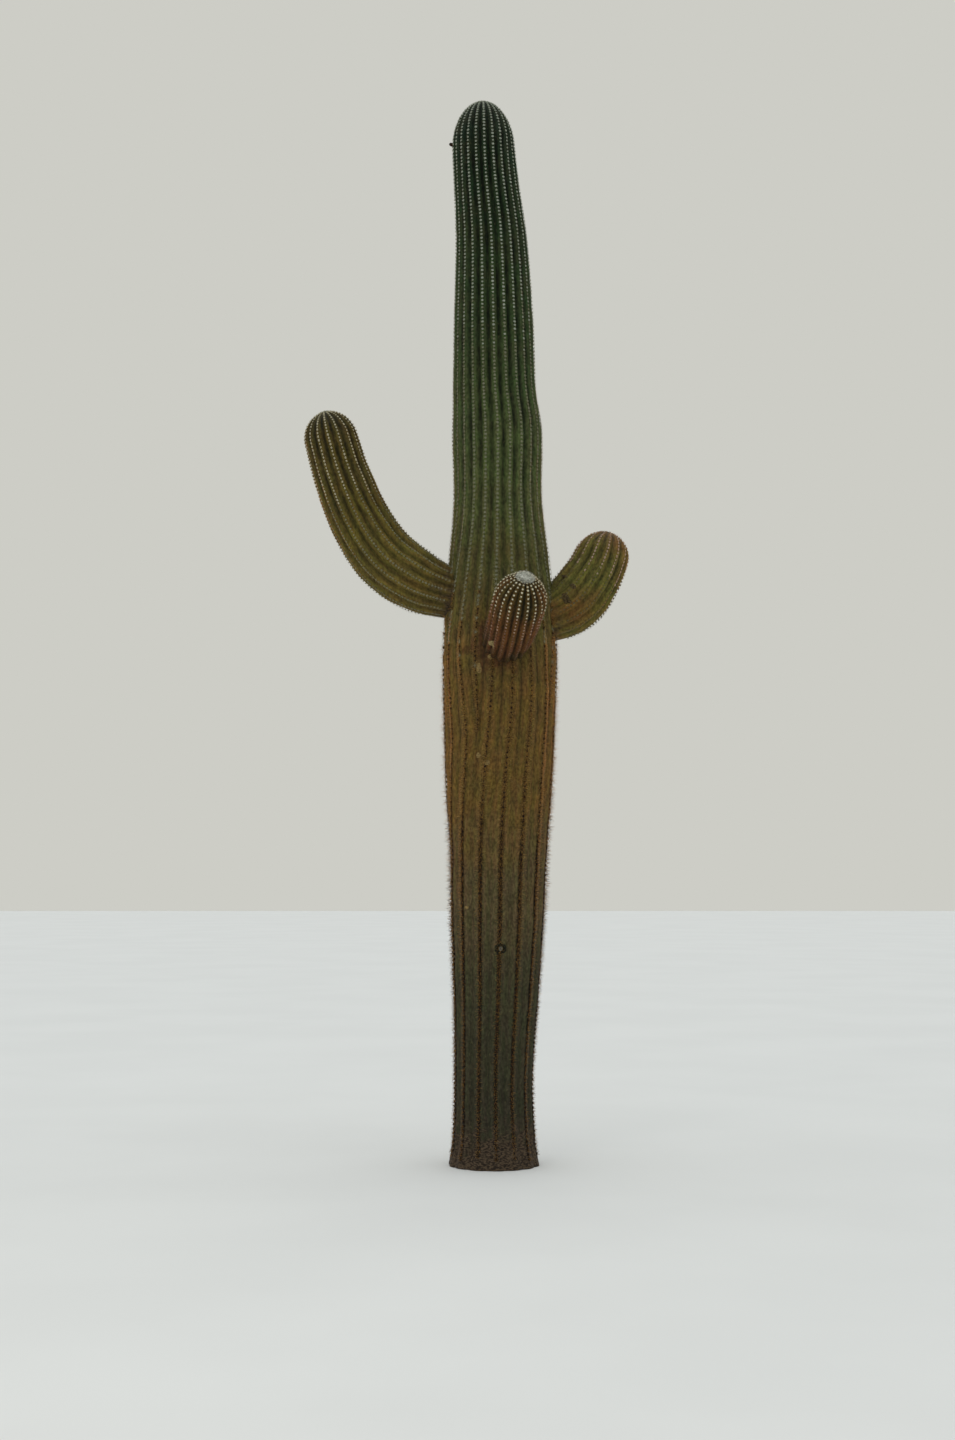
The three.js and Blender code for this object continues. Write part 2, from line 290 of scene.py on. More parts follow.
class Limb:
    """A ribbed limb, worked out from its stations by the rule that its solid follows."""

    def __init__(self, name, plan):
        self.name = name
        self.facing = Vector(plan["facing"])
        self.dome = plan["dome"] * MM
        self.rows = [dict(zip(STATION, row)) for row in plan["stations"]]
        for row in self.rows:
            for key in LENGTHS:
                row[key] *= MM
        at = 0
        for last, row in zip(self.rows[:1] + self.rows, self.rows):
            at += math.dist((row["x"], row["y"], row["z"]), (last["x"], last["y"], last["z"]))
            row["at"] = at
        self.length = at
        self.starts = []
        for rib in range(plan["ribs"]):
            self.starts += [start * MM for before, start in plan["new_ribs"] if before == rib]
            self.starts.append(-math.inf)

    def along(self, key, distance):
        """One value of the stations on a smooth curve through them."""
        rows = self.rows
        i = 0
        while i < len(rows) - 2 and distance > rows[i + 1]["at"]:
            i += 1

        def slope(j):
            a, b = rows[max(j - 1, 0)], rows[min(j + 1, len(rows) - 1)]
            return (b[key] - a[key]) / (b["at"] - a["at"])

        a, b = rows[i], rows[i + 1]
        span = b["at"] - a["at"]
        t = min(max((distance - a["at"]) / span, 0), 1)
        rise = t * t * (3 - 2 * t)
        steady = a[key] * (1 - rise) + b[key] * rise
        return steady + span * t * (1 - t) * (slope(i) * (1 - t) - slope(i + 1) * t)

    def centre(self, distance):
        return Vector([self.along(key, distance) for key in "xyz"])

    def ring(self, distance):
        """What a section needs to place points on it: centre, directions, radius, relief and ribs."""
        step = 2 * MM
        low, high = max(distance - step, 0), min(distance + step, self.length)
        direction = (self.centre(high) - self.centre(low)).normalized()
        front = (self.facing - direction * self.facing.dot(direction)).normalized()
        t = min(max((distance - (self.length - self.dome)) / self.dome, 0), 1)
        closing = math.sqrt(1 - t * t)
        grown = [1 if start < 0 else ease(distance, start, start + RIB_GROWTH) for start in self.starts]
        shares = [NEW_RIB_WIDTH + (1 - NEW_RIB_WIDTH) * growth for growth in grown]
        ribs = []
        angle = math.radians(self.along("turn", distance))
        for growth, share in zip(grown, shares):
            width = math.tau * share / sum(shares)
            ribs.append((angle, width, growth))
            angle += width
        return {
            "centre": self.centre(distance),
            "direction": direction,
            "front": front,
            "side": direction.cross(front),
            "closing": closing,
            "radius": self.along("radius", distance) * closing,
            "depth": self.along("depth", distance) * closing**CREST_TO_DOME,
            "fullness": self.along("fullness", distance),
            "ribs": ribs,
        }

    def point(self, ring, rib, across, spread=1):
        """A point of the surface. across goes over one rib, from its groove at -1 to the next at 1."""
        angle, width, growth = ring["ribs"][rib]
        relief = growth * (1 - abs(across) ** ring["fullness"])
        reach = (ring["radius"] - ring["depth"] * (1 - relief)) * spread
        azimuth = angle + width * (across + 1) / 2
        around = math.cos(azimuth) * ring["front"] + math.sin(azimuth) * ring["side"]
        return ring["centre"] + reach * around

    def surface(self, distance, azimuth):
        """The point of the surface at a distance and an angle from the front, and its way outwards."""
        ring = self.ring(distance)
        for rib, (angle, width, growth) in enumerate(ring["ribs"]):
            share = (azimuth - angle) % math.tau / width
            if share < 1:
                place = self.point(ring, rib, 2 * share - 1)
                return place, (place - ring["centre"]).normalized()


STEM_LIMB = Limb("trunk", STEM)
LEFT_LIMB = Limb("left_arm", LEFT_ARM)
FRONT_LIMB = Limb("front_arm", FRONT_ARM)
RIGHT_LIMB = Limb("right_arm", RIGHT_ARM)


def colour(hex_value):
    """An sRGB hex colour as the linear colour that the shaders take."""
    parts = [int(hex_value[i : i + 2], 16) / 255 for i in (1, 3, 5)]
    return (*[c / 12.92 if c <= 0.04045 else ((c + 0.055) / 1.055) ** 2.4 for c in parts], 1)


def add_node(tree, kind, inputs=None, **settings):
    """Adds a node. Settings name its properties. Inputs, by name or number, are values or the outputs that
    feed them."""
    node = tree.nodes.new(kind)
    for name, value in settings.items():
        setattr(node, name, value)
    for socket, value in (inputs or {}).items():
        if isinstance(value, bpy.types.NodeSocket):
            tree.links.new(value, node.inputs[socket])
        else:
            node.inputs[socket].default_value = value
    return node


def new_material(name, **settings):
    """A material with a Principled shader, whose own sockets take the settings, and its coordinates."""
    material = bpy.data.materials.new(name)
    material.use_nodes = True
    tree = material.node_tree
    shader = tree.nodes["Principled BSDF"]
    for socket, value in settings.items():
        shader.inputs[socket.replace("_", " ")].default_value = value
    place = add_node(tree, "ShaderNodeTexCoord").outputs["Object"]
    return material, tree, shader, place


def speckle(tree, place, size, detail=3.0, stretch=(1, 1, 1), levels=None):
    """The output of a noise whose grains are about size metres across, stretched along an axis. levels
    spread it smoothly, as (from, to, value at from, value at to)."""
    mapping = add_node(tree, "ShaderNodeMapping", {"Vector": place, "Scale": [1 / s for s in stretch]})
    noise = add_node(
        tree,
        "ShaderNodeTexNoise",
        {"Vector": mapping.outputs["Vector"], "Scale": 1 / size, "Detail": detail},
    )
    if levels is None:
        return noise.outputs["Fac"]
    spread = add_node(
        tree,
        "ShaderNodeMapRange",
        {0: noise.outputs["Fac"], **dict(enumerate(levels, 1))},
        interpolation_type="SMOOTHSTEP",
    )
    return spread.outputs["Result"]


def banded(tree, distance, stops):
    """The output of a colour that changes along a limb through (distance, hex colour) stops."""
    last = stops[-1][0]
    share = add_node(tree, "ShaderNodeMath", {0: distance, 1: last}, operation="DIVIDE")
    bands = add_node(tree, "ShaderNodeValToRGB", {"Fac": share.outputs[0]})
    elements = bands.color_ramp.elements
    while len(elements) < len(stops):
        elements.new(0.5)
    for element, (at, shade) in zip(elements, stops):
        element.position = at / last
        element.color = colour(shade)
    return bands.outputs["Color"]


def along_ribs(tree, off_crest, distance, across, along):
    """The output of a mark that runs along every rib. across says how strong it is from the crest at 0 to
    the groove at 0.5, and along by distance, both as (from, to, strength at from, strength at to)."""
    strengths = []
    for source, levels in ((off_crest, across), (distance, along)):
        strength = add_node(
            tree,
            "ShaderNodeMapRange",
            {0: source, **dict(enumerate(levels, 1))},
            interpolation_type="SMOOTHSTEP",
        )
        strengths.append(strength.outputs["Result"])
    return add_node(tree, "ShaderNodeMath", dict(enumerate(strengths)), operation="MULTIPLY").outputs[0]


def waxy_skin(name, cork_end, shades, groove_shade, groove_line=None, crest_crust_and_shade=None, browned=None):
    """Living skin under a dull wax: firm and matt, olive with painted shade in the grooves, corky where it is
    oldest.

    cork_end is where the cork at the base stops, and shades the colours that the weather has given the
    limb, as (distance along it, colour); at the stem's foot and the front arm's base they are darkened
    further as painted shade. groove_shade is how dark the grooves get between two distances, which is
    painted shade, as (from, to, darkness below, darkness above). groove_line is the same for a narrow line
    of painted shade at the bottom of the grooves, and crest_crust_and_shade for the crests, where old spines
    have left a dark crust that is darkened further by painted shade under the spines. browned is a patch
    where the skin is darker and browner, as (centre, radius)."""
    material, tree, shader, place = new_material(name, IOR=1.45, Specular_IOR_Level=0.12)
    rib_map = add_node(tree, "ShaderNodeUVMap", uv_map="rib_map").outputs["UV"]
    parts = add_node(tree, "ShaderNodeSeparateXYZ", {"Vector": rib_map})
    distance = parts.outputs["Y"]
    round_rib = add_node(tree, "ShaderNodeMath", {0: parts.outputs["X"]}, operation="FRACT").outputs[0]
    centred = add_node(tree, "ShaderNodeMath", {0: round_rib, 1: 0.5}, operation="SUBTRACT").outputs[0]
    off_crest = add_node(tree, "ShaderNodeMath", {0: centred}, operation="ABSOLUTE").outputs[0]

    # The bands of colour wander by a hand's width.
    wander = speckle(tree, place, 0.25, levels=(0.25, 0.75, -0.15, 0.15))
    wandering = add_node(tree, "ShaderNodeMath", {0: distance, 1: wander}, operation="ADD").outputs[0]
    skin = banded(tree, wandering, shades)

    # Over them lie, as (where, colour), patches as wide as a palm, the darker, browner patch with its torn
    # edge, painted shade in the grooves, broken up by blotches 60 mm wide, and on the crests a dark crust
    # with painted shade under the spines.
    layers = [(speckle(tree, place, 0.1, 4.0, levels=(0.3, 0.7, 0.0, 0.35)), "#46402a")]
    if browned:
        centre, radius = browned
        off = add_node(tree, "ShaderNodeVectorMath", {0: place, 1: centre}, operation="DISTANCE")
        torn = speckle(tree, place, 0.07, 4.0, levels=(0.25, 0.75, -0.06, 0.06))
        reach = add_node(tree, "ShaderNodeMath", {0: off.outputs["Value"], 1: torn}, operation="ADD")
        brown = add_node(
            tree,
            "ShaderNodeMapRange",
            {0: reach.outputs[0], 1: 0.4 * radius, 2: radius, 3: 0.85, 4: 0.0},
            interpolation_type="SMOOTHSTEP",
        )
        layers.append((brown.outputs["Result"], "#553822"))
    # Painted shade: the grooves are darkened towards a near-black green, between the distances that
    # groove_shade gives.
    groove = along_ribs(tree, off_crest, distance, (0.16, 0.5, 0.0, 1.0), groove_shade)
    # Painted shade also lies as a narrow dark line at the bottom of the grooves.
    if groove_line:
        line = along_ribs(tree, off_crest, distance, (0.36, 0.5, 0.0, 1.0), groove_line)
        groove = add_node(tree, "ShaderNodeMath", {0: groove, 1: line}, operation="MAXIMUM").outputs[0]
    blotches = speckle(tree, place, 0.06, 3.0, (1, 1, 2), (0.35, 0.6, 0.55, 1.0))
    blotched = add_node(tree, "ShaderNodeMath", {0: groove, 1: blotches}, operation="MULTIPLY")
    layers.append((blotched.outputs[0], "#0d120a"))
    # The crests get a dark crust, darkened further as painted shade under the old spines.
    if crest_crust_and_shade:
        crest = along_ribs(tree, off_crest, distance, (0.05, 0.16, 1.0, 0.0), crest_crust_and_shade)
        layers.append((crest, "#1d150d"))
    for where, shade in layers:
        layer = add_node(tree, "ShaderNodeMix", {0: where, 6: skin, 7: colour(shade)}, data_type="RGBA")
        skin = layer.outputs[2]

    # Streaks run along the ribs: wide ones greener or rosier, narrow ones lighter or darker. Mottling 12 mm
    # wide lies over all of it, and paler flecks of worn wax.
    wide = speckle(tree, rib_map, 0.02, 3.0, (10, 7, 1), (0.35, 0.65, 0.0, 1.0))
    greener, rosier = (0.93, 1.04, 0.93, 1), (1.07, 0.97, 1.05, 1)
    tint = add_node(tree, "ShaderNodeMix", {0: wide, 6: greener, 7: rosier}, data_type="RGBA").outputs[2]
    skin = add_node(tree, "ShaderNodeVectorMath", {0: skin, 1: tint}, operation="MULTIPLY").outputs[0]
    narrow = speckle(tree, rib_map, 0.007, 3.0, (10, 10, 1), (0.35, 0.65, 0.86, 1.14))
    mottling = speckle(tree, place, 0.012, 3.0, (1, 1, 1.5), (0.3, 0.7, 0.68, 1.32))
    for lightness in (narrow, mottling):
        lit = add_node(tree, "ShaderNodeVectorMath", {0: skin, "Scale": lightness}, operation="SCALE")
        skin = lit.outputs[0]
    flecks = speckle(tree, place, 0.009, 4.0, (1, 1, 1.6), (0.6, 0.72, 0.0, 0.35))
    fleck = add_node(tree, "ShaderNodeMix", {0: flecks, 6: skin, 7: colour("#716848")}, data_type="RGBA")

    # Cork creeps up from the base, furthest where the skin is oldest, with a ragged edge.
    ragged = speckle(tree, place, 0.05, 5.0, levels=(0.2, 0.8, -0.12, 0.12))
    edge = add_node(tree, "ShaderNodeMath", {0: distance, 1: ragged}, operation="ADD").outputs[0]
    cork = add_node(
        tree,
        "ShaderNodeMapRange",
        {0: edge, 1: cork_end - 0.12, 2: cork_end + 0.06, 3: 1.0, 4: 0.0},
        interpolation_type="SMOOTHSTEP",
    )
    cracks = speckle(tree, place, 0.014, 5.0, (1, 1, 0.5), (0.4, 0.6, 0.0, 1.0))
    bark_shades = {6: colour("#2a221a"), 7: colour("#5b4c3b")}
    bark = add_node(tree, "ShaderNodeMix", {0: cracks, **bark_shades}, data_type="RGBA")
    corked = {0: cork.outputs["Result"], 6: fleck.outputs[2], 7: bark.outputs[2]}
    skin = add_node(tree, "ShaderNodeMix", corked, data_type="RGBA").outputs[2]
    tree.links.new(skin, shader.inputs["Base Color"])

    # Fine creases lie across the limb, 30 mm long and 5 mm apart, over grain of 2 mm. Flecks are duller.
    creases = speckle(tree, place, 0.005, 2.0, (6, 6, 1))
    grain = speckle(tree, place, 0.002, 2.0)
    relief = add_node(tree, "ShaderNodeMath", {0: creases, 1: grain}, operation="ADD").outputs[0]
    bump = add_node(tree, "ShaderNodeBump", {"Height": relief, "Strength": 0.5, "Distance": 0.0015})
    tree.links.new(bump.outputs["Normal"], shader.inputs["Normal"])
    dulled = add_node(
        tree,
        "ShaderNodeMapRange",
        {0: flecks, 1: 0.0, 2: 1.0, 3: 0.6, 4: 0.8},
        interpolation_type="SMOOTHSTEP",
    )
    tree.links.new(dulled.outputs["Result"], shader.inputs["Roughness"])
    return material


def grained(name, shade, light, size, detail, levels, bump=None, **settings):
    """A material of two colours that are mixed by grains of a size in metres, between two levels of noise.
    bump is how strongly the grains stand out and how far, in metres."""
    material, tree, shader, place = new_material(name, **settings)
    grains = speckle(tree, place, size, detail, levels=(*levels, 0.0, 1.0))
    shades = {6: colour(shade), 7: colour(light)}
    mix = add_node(tree, "ShaderNodeMix", {0: grains, **shades}, data_type="RGBA")
    tree.links.new(mix.outputs[2], shader.inputs["Base Color"])
    if bump:
        strength, height = bump
        raised = add_node(
            tree, "ShaderNodeBump", {"Height": grains, "Strength": strength, "Distance": height}
        )
        tree.links.new(raised.outputs["Normal"], shader.inputs["Normal"])
    return material


def felt(name, shade, light, sheen=0.35, clump=0.003):
    """Areole felt: short matted hairs in clumps of a few millimetres, quite dull, lighter at the rim of a
    young pad by its sheen."""
    settings = {"Roughness": 0.95, "IOR": 1.5, "Specular_IOR_Level": 0.15, "Sheen_Weight": sheen}
    return grained(name, shade, light, clump, 3.0, (0.35, 0.65), (0.6, 0.001), **settings)


def callus(name, shade, light):
    """Healed tissue: dry, hard and scaly like bark, cracked every few millimetres."""
    settings = {"Roughness": 0.85, "IOR": 1.5, "Specular_IOR_Level": 0.2}
    return grained(name, shade, light, 0.006, 5.0, (0.38, 0.62), (0.7, 0.002), **settings)


def spine_horn(name, shade, light, glow):
    """Spines are hard, smooth and slightly glossy, like horn, with lighter and darker ones mixed. Light
    from behind shines through them: glow is the share that passes."""
    settings = {"Roughness": 0.45, "IOR": 1.54, "Specular_IOR_Level": 0.25}
    material = grained(name, shade, light, 0.012, 2.0, (0.35, 0.65), **settings)
    tree = material.node_tree
    shader = tree.nodes["Principled BSDF"]
    shades = shader.inputs["Base Color"].links[0].from_socket
    through = add_node(tree, "ShaderNodeBsdfTranslucent", {"Color": shades})
    both = add_node(tree, "ShaderNodeMixShader", {0: glow, 1: shader.outputs[0], 2: through.outputs[0]})
    tree.links.new(both.outputs[0], tree.nodes["Material Output"].inputs["Surface"])
    return material


# Colours along the stem; those at the foot are darkened partly as painted shadow, as if low shrubs stood
# before it.
STEM_SHADES = (
    (0.0, "#383529"),
    (0.9, "#45432f"),
    (1.5, "#66583a"),
    (2.0, "#7b5f2c"),
    (2.6, "#7b5f2d"),
    (3.1, "#625a2f"),
    (3.7, "#5c663b"),
    (4.5, "#3f502e"),
    (5.4, "#253822"),
    (5.9, "#1f3023"),
)
LEFT_ARM_SHADES = ((0.0, "#745c2b"), (0.4, "#70622c"), (0.8, "#6e5f29"), (1.2, "#605226"), (1.5, "#423a1e"))
# The darkest colours at the base are painted shade on the underside of the arm, where it leaves the stem.
FRONT_ARM_SHADES = (
    (0.0, "#342416"),
    (0.14, "#44301a"),
    (0.3, "#744628"),
    (0.45, "#744a26"),
    (0.65, "#54411c"),
)
RIGHT_ARM_SHADES = ((0.0, "#825029"), (0.2, "#7c6830"), (0.35, "#6e6b30"), (0.6, "#7b6430"), (0.8, "#84562d"))
STEM_SKIN = waxy_skin(
    "waxy_stem_skin",
    0.22,
    STEM_SHADES,
    # The grooves are darkened as painted shade, more towards the top.
    (2.4, 4.4, 0.3, 0.92),
    # A narrow line of painted shade at the bottom of the grooves, from about 2 m up.
    groove_line=(1.9, 2.4, 0.0, 0.6),
    # A dark crust with painted shade under the spines on the crests of the old lower stem.
    crest_crust_and_shade=(1.5, 2.2, 0.8, 0.0),
    browned=BROWNED,
)
# The arms' grooves are darkened as painted shade too.
LEFT_ARM_SKIN = waxy_skin("waxy_left_arm_skin", 0.2, LEFT_ARM_SHADES, (0.4, 1.2, 0.5, 0.85))
FRONT_ARM_SKIN = waxy_skin("waxy_front_arm_skin", 0.16, FRONT_ARM_SHADES, (0.2, 0.5, 0.7, 0.9))
RIGHT_ARM_SKIN = waxy_skin("waxy_right_arm_skin", 0.12, RIGHT_ARM_SHADES, (0.2, 0.6, 0.4, 0.7))
PALE_FELT = felt("pale_areole_felt", "#969f8d", "#b9c0ae")
CREAM_FELT = felt("cream_areole_felt", "#e0d5a8", "#fbf4d8")
BUFF_FELT = felt("buff_areole_felt", "#b8ac83", "#d2c9ab")
TAN_FELT = felt("tan_areole_felt", "#a8826a", "#d4b096")
DULL_FELT = felt("dull_areole_felt", "#707156", "#919276", 0.2)
FADED_FELT = felt("faded_areole_felt", "#565134", "#767050", 0.1)
ROSY_FELT = felt("rosy_areole_felt", "#6e4a36", "#96705a", 0.2)
WOOL = felt("crown_wool", "#78796c", "#efefe4", 0.2, 0.01)
BROWN_FELT = felt("brown_areole_felt", "#22180d", "#3a2a18", 0.05)
OLD_FELT = felt("weathered_areole_felt", "#1a110a", "#2e2116", 0.05)
STRAW_SPINES = spine_horn("straw_spine_horn", "#a8823e", "#dcb468", 0.6)
WHITE_SPINES = spine_horn("white_bristle_horn", "#b6b7a8", "#fffef6", 0.3)
PALE_SPINES = spine_horn("pale_spine_horn", "#9c9678", "#c9c5a8", 0.3)
DARK_SPINES = spine_horn("dark_spine_horn", "#23170e", "#523a24", 0.3)
TAN_SPINES = spine_horn("tan_spine_horn", "#55452a", "#a48a56", 0.4)
CALLUS_PALE = callus("pale_callus", "#75603a", "#a48a56")
CALLUS_BROWN = callus("brown_callus", "#3a2f1c", "#665636")
CALLUS_GREY = callus("greyed_callus", "#4c4a3e", "#7c786a")
WOUND_BARK = callus("wound_bark", "#14150d", "#2c2c1c")
CALLUS_YELLOW = callus("yellowish_callus", "#7a6a44", "#b8a674")
DRIED_PETAL = callus("dried_petal", "#1d1510", "#4a3524")

# The pads on the stem, oldest first, as (name, width, height and rise in mm, felt).
STEM_COATS = (
    ("old", 19, 17, 6, OLD_FELT),
    ("brown", 14, 14, 7, BROWN_FELT),
    ("dull", 12, 11, 4, DULL_FELT),
    ("pale", 14, 11, 5, PALE_FELT),
)

# The coats of an arm's areoles, oldest first, as (name, distance from which they have it, felt, width and
# height of the pads in mm, spines), and the rise of its pads in mm.
LEFT_COATS = (("dull", 0, DULL_FELT, 9, 10, PALE_SPINES), ("pale", 0.95, BUFF_FELT, 10, 13, PALE_SPINES))
FRONT_COATS = (
    ("rosy", 0, ROSY_FELT, 8, 15, TAN_SPINES),
    ("tan", 0.39, TAN_FELT, 10, 11, TAN_SPINES),
    ("pale", 0.49, CREAM_FELT, 11, 10, PALE_SPINES),
)
RIGHT_COATS = (("faded", 0, FADED_FELT, 9, 10, TAN_SPINES), ("tan", 0.46, TAN_FELT, 9, 16, PALE_SPINES))
ARM_PAD_RISE = 4

# The growing tips, as (limb, the solid that the felt stands for, radius, rise and lumps of the felt in
# metres, felt).
CROWNS = (
    (STEM_LIMB, "trunk_crown", 0.032, 0.003, 0.0015, DULL_FELT),
    (LEFT_LIMB, "left_arm_crown", 0.026, 0.003, 0.0015, DULL_FELT),
    (FRONT_LIMB, "front_arm_crown", 0.034, 0.014, 0.0035, WOOL),
    (RIGHT_LIMB, "right_arm_crown", 0.026, 0.003, 0.0015, DULL_FELT),
)

# The bristles on the tips, as (limb, radius of their patch, how high it stands in the middle, clusters).
# Each patch is lower at its rim by the drop.
BRISTLED_TIPS = ((STEM_LIMB, 0.03, 0, 50), (LEFT_LIMB, 0.026, 0, 40), (RIGHT_LIMB, 0.026, 0, 40))
TUFTED_TIP = (FRONT_LIMB, 0.046, 0.012, 130)
TIP_DROP = 0.006
GOLDEN_ANGLE = math.pi * (3 - math.sqrt(5))


def finished(piece, material, slot, *nodes):
    """Gives a piece its material and its place on the cactus, and hides the solids it stands for."""
    piece.data.materials.clear()
    piece.data.materials.append(material)
    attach(piece, "root")
    if nodes:
        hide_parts(*nodes)
    return piece


def active_piece(name):
    """The piece that an operator has just added, renamed."""
    piece = bpy.context.object
    piece.name = name
    piece.data.name = name
    return piece


def ball(name, segments, rings, **place):
    """A sphere to start from, with its points and faces in order of place. A new sphere has them in another
    order each time, and the lumps that are pushed into it follow the order."""
    bpy.ops.mesh.primitive_uv_sphere_add(segments=segments, ring_count=rings, **place)
    piece = active_piece(name)
    mesh = piece.data
    order = sorted(range(len(mesh.vertices)), key=lambda i: mesh.vertices[i].co[:])
    rank = {old: new for new, old in enumerate(order)}
    points = [mesh.vertices[i].co[:] for i in order]
    faces = []
    for polygon in mesh.polygons:
        corners = [rank[i] for i in polygon.vertices]
        first = corners.index(min(corners))
        faces.append(corners[first:] + corners[:first])
    mesh.clear_geometry()
    mesh.from_pydata(points, [], sorted(faces))
    return piece


def add_softening(piece):
    """Rounds a piece by one subdivision, the same in the view and in a render."""
    soften = piece.modifiers.new("soften", "SUBSURF")
    soften.levels = 1
    soften.render_levels = 1


def add_lumps(piece, name, size, strength, group):
    """Pushes a skin in and out along its normals by noise whose lumps are size metres across."""
    texture = bpy.data.textures.new(f"{piece.name}_{name}", "CLOUDS")
    texture.noise_scale = size
    texture.noise_depth = 3
    displace = piece.modifiers.new(name, "DISPLACE")
    displace.texture = texture
    displace.texture_coords = "LOCAL"
    displace.strength = strength
    displace.vertex_group = group


def apply_modifiers(piece):
    bpy.context.view_layer.objects.active = piece
    for modifier in list(piece.modifiers):
        bpy.ops.object.modifier_apply(modifier=modifier.name)
    bpy.ops.object.shade_smooth()


def skin_rows(limb, step, foot):
    """The rows of a skin as (distance, spread): the base closed from its centre, then up to the apex."""
    rows = BASE_ROWS + (FOOT_ROWS if foot else [])
    start = rows[-1][0]
    dome_start = limb.length - limb.dome
    steps = round((dome_start - start) / step)
    rows += [(start + (dome_start - start) * (i + 1) / steps, 1) for i in range(steps)]
    quarter = math.pi / 2 / DOME_ROWS
    rows += [(dome_start + limb.dome * math.sin(quarter * (i + 1)), 1) for i in range(DOME_ROWS)]
    return rows


def limb_skin(limb, step, cork_end, material, nodes, foot=False, flare=0.0):
    """A grid wrapped round the limb's ribs, closed along its seam and at both ends, then softened
    and roughened. Its UV map gives the rib and the distance along the limb to the material. flare is
    how much wider the base spreads where it grows out of the stem."""
    rows = skin_rows(limb, step, foot)
    columns = RIB_COLUMNS * len(limb.starts)
    bpy.ops.mesh.primitive_grid_add(
        x_subdivisions=columns, y_subdivisions=len(rows) - 1, size=2, calc_uvs=True
    )
    skin = active_piece(f"{limb.name}_skin")
    mesh = skin.data
    grid = []
    for vertex in mesh.vertices:
        column = round((vertex.co.x + 1) / 2 * columns)
        grid.append((column, round((vertex.co.y + 1) / 2 * (len(rows) - 1))))
    rings = [limb.ring(distance) for distance, spread in rows]
    free = skin.vertex_groups.new(name="free")
    corky = skin.vertex_groups.new(name="corky")
    for vertex, (column, row) in zip(mesh.vertices, grid):
        rib, step_across = divmod(column % columns, RIB_COLUMNS)
        across = 2 * step_across / RIB_COLUMNS - 1
        distance, spread = rows[row]
        spread *= 1 + flare * (1 - ease(distance, 0, FLARE_LENGTH))
        vertex.co = limb.point(rings[row], rib, across, spread)
        held = ease(distance, 0, FOOT_HELD) if foot else 1
        free.add([vertex.index], held * rings[row]["closing"], "REPLACE")
        fading = 1 - ease(distance, cork_end, cork_end + CORK_FADE)
        corky.add([vertex.index], ease(distance, 0, CORK_START) * fading, "REPLACE")
    # A rib that hasn't grown yet is mapped as the bottom of the groove in which it starts.
    uv_layer = mesh.uv_layers.active
    uv_layer.name = "rib_map"
    for polygon in mesh.polygons:
        rib, first = divmod(min(grid[i][0] for i in polygon.vertices), RIB_COLUMNS)
        for loop in polygon.loop_indices:
            column, row = grid[mesh.loops[loop].vertex_index]
            growth = rings[row]["ribs"][rib][2]
            share = column / RIB_COLUMNS - rib
            share = growth * share if first < RIB_COLUMNS / 2 else 1 - growth * (1 - share)
            uv_layer.uv[loop].vector = (rib + share, rows[row][0])
    bpy.ops.object.mode_set(mode="EDIT")
    bpy.ops.mesh.select_all(action="SELECT")
    bpy.ops.mesh.remove_doubles(threshold=MERGE_DISTANCE)
    bpy.ops.mesh.normals_make_consistent(inside=False)
    bpy.ops.object.mode_set(mode="OBJECT")
    add_softening(skin)
    for lumps in SKIN_LUMPS:
        add_lumps(skin, *lumps)
    apply_modifiers(skin)
    return finished(skin, material, "flesh", *nodes)


def areole_spots(limb, pitches, start, seed):
    """Where the areoles sit: along the crest of every rib, closer together towards the apex."""
    chance = random.Random(seed)
    spots = []
    for rib, born in enumerate(limb.starts):
        at = max(start, born + NEW_RIB_START) + pitches[0][1] * chance.random()
        while at < limb.length - MM:
            ring = limb.ring(at)
            if ring["radius"] < BARE_APEX:
                break
            probe = 0.5 * MM
            above, below = limb.ring(at + probe), limb.ring(at - probe)
            place = limb.point(ring, rib, 0)
            climb = (limb.point(above, rib, 0) - limb.point(below, rib, 0)) / (2 * probe)
            up = climb.normalized()
            side = (limb.point(ring, rib, 0.2) - limb.point(ring, rib, -0.2)).normalized()
            outward = side.cross(up).normalized()
            if outward.dot(place - ring["centre"]) < 0:
                outward.negate()
            spots.append({"place": place, "up": up, "side": side, "out": outward, "at": at})
            crowded = APEX_SPACING + (1 - APEX_SPACING) * ring["closing"]
            at += between(pitches, at) * crowded * chance.uniform(*SPACING_RANGE) / climb.length
    return spots


def crown_spots(limb, radius, rise, count, spine):
    """Where bristles stand on a crown, in a spiral from its middle, leaning outwards towards its rim.
    rise is how high the felt stands in the middle, and spine the length of the bristles."""
    apex = limb.ring(limb.length)
    spots = []
    for i in range(count):
        angle = i * GOLDEN_ANGLE
        share = math.sqrt((i + 0.5) / count)
        around = apex["front"] * math.cos(angle) + apex["side"] * math.sin(angle)
        out = (apex["direction"] + around * share).normalized()
        side = apex["direction"].cross(around).normalized()
        height = rise * (1 - share**2) - TIP_DROP * share
        place = apex["centre"] + around * (radius * share) + apex["direction"] * height
        spots.append({"place": place, "up": side.cross(out), "side": side, "out": out, "spine": spine})
    return spots


def joined_mesh(name, vertices, faces):
    """One piece from arrays of many small things."""
    mesh = bpy.data.meshes.new(name)
    mesh.from_pydata(vertices, [], faces)
    mesh.update()
    piece = bpy.data.objects.new(name, mesh)
    bpy.context.scene.collection.objects.link(piece)
    return piece


